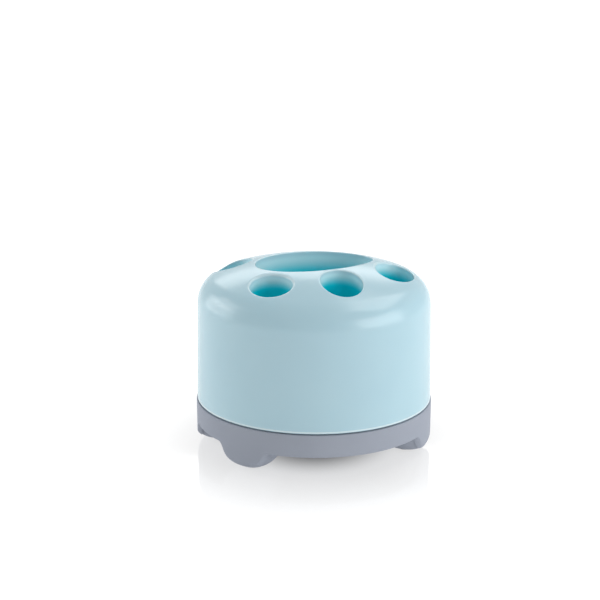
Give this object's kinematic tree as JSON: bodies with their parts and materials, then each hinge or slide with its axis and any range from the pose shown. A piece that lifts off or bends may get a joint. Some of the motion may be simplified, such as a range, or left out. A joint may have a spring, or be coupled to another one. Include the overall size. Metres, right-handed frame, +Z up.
{
  "type": "toothbrush holder",
  "caption": "Oval free-standing toothbrush holder: a glossy lift-off cover with four small wells and a long compartment, on a grey drip tray with rounded feet.",
  "frame": {"origin": "on the floor under the middle of the holder, at the height of the pads' undersides", "axes": "+X along the holder's length to the right, -Y towards the front, +Z up"},
  "size_m": [0.129, 0.108, 0.1031],
  "materials": {
    "aqua_plastic": "glossy pale aqua moulding",
    "grey_plastic": "satin cool grey moulding",
    "pad_rubber": "matt dark grey"
  },
  "bodies": {
    "base": {"base_tray": "grey_plastic", "foot_pad_front_left": "pad_rubber", "foot_pad_front_right": "pad_rubber", "foot_pad_rear_left": "pad_rubber", "foot_pad_rear_right": "pad_rubber"},
    "cover": {"cover": "aqua_plastic"}
  },
  "joints": [
    {"name": "cover_lift", "type": "slide", "parent": "base", "child": "cover", "axis": [0, 0, 1], "range_m": [0, 0.04]}
  ]
}
